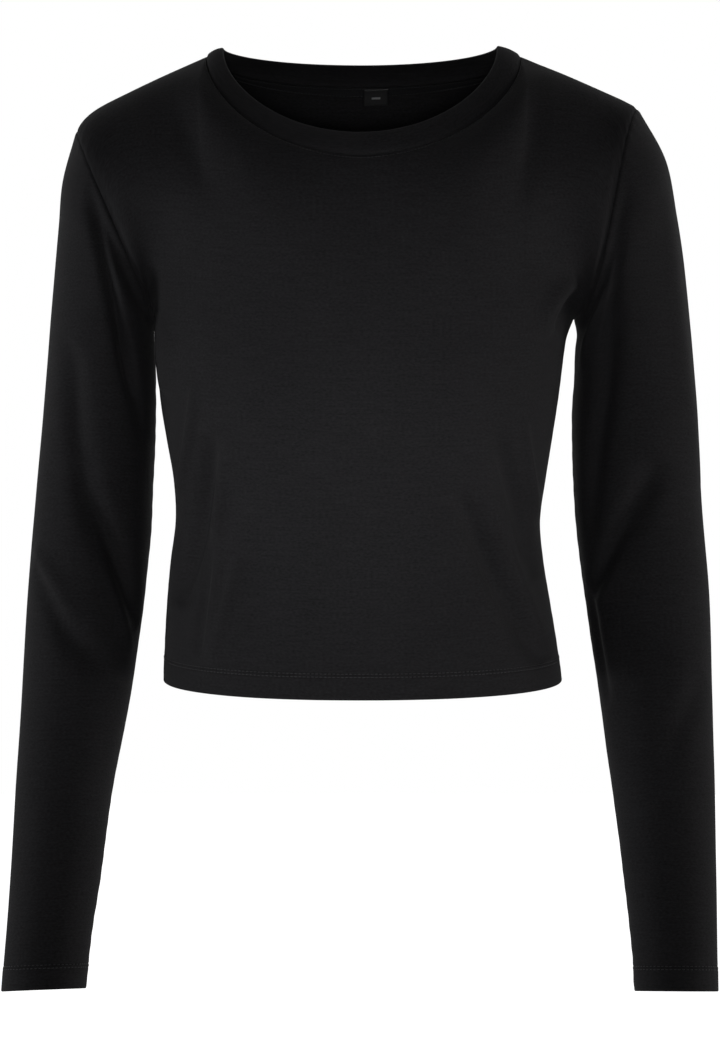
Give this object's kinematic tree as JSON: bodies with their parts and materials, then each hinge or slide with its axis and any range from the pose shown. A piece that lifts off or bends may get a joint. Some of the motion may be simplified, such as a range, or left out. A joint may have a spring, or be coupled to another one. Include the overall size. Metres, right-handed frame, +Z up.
{
  "type": "crop top",
  "caption": "Long-sleeved crop top in fine jersey with a crew neckband, set-in sleeves and stitched hems, filled out and hollow as if worn",
  "frame": {"origin": "The middle of the neck opening, level with the high points of the shoulder seams, where the top rests on its wearer's shoulders.", "axes": "+Z is up, from the hem to the neck. -Y is the front of the top and +Y is its back. +X is the wearer's left."},
  "size_m": [0.5055, 0.2149, 0.6689],
  "materials": {
    "front jersey": "matte",
    "back jersey": "matte",
    "right sleeve jersey": "matte",
    "left sleeve jersey": "matte",
    "neckband jersey": "matte",
    "neck tape": "matte",
    "woven label": "satin"
  },
  "bodies": {
    "root": {"front_panel": "front jersey", "back_panel": "back jersey", "right_sleeve": "right sleeve jersey", "left_sleeve": "left sleeve jersey", "neckband": "neckband jersey", "neck_tape": "neck tape", "size_label": "woven label"}
  },
  "joints": []
}
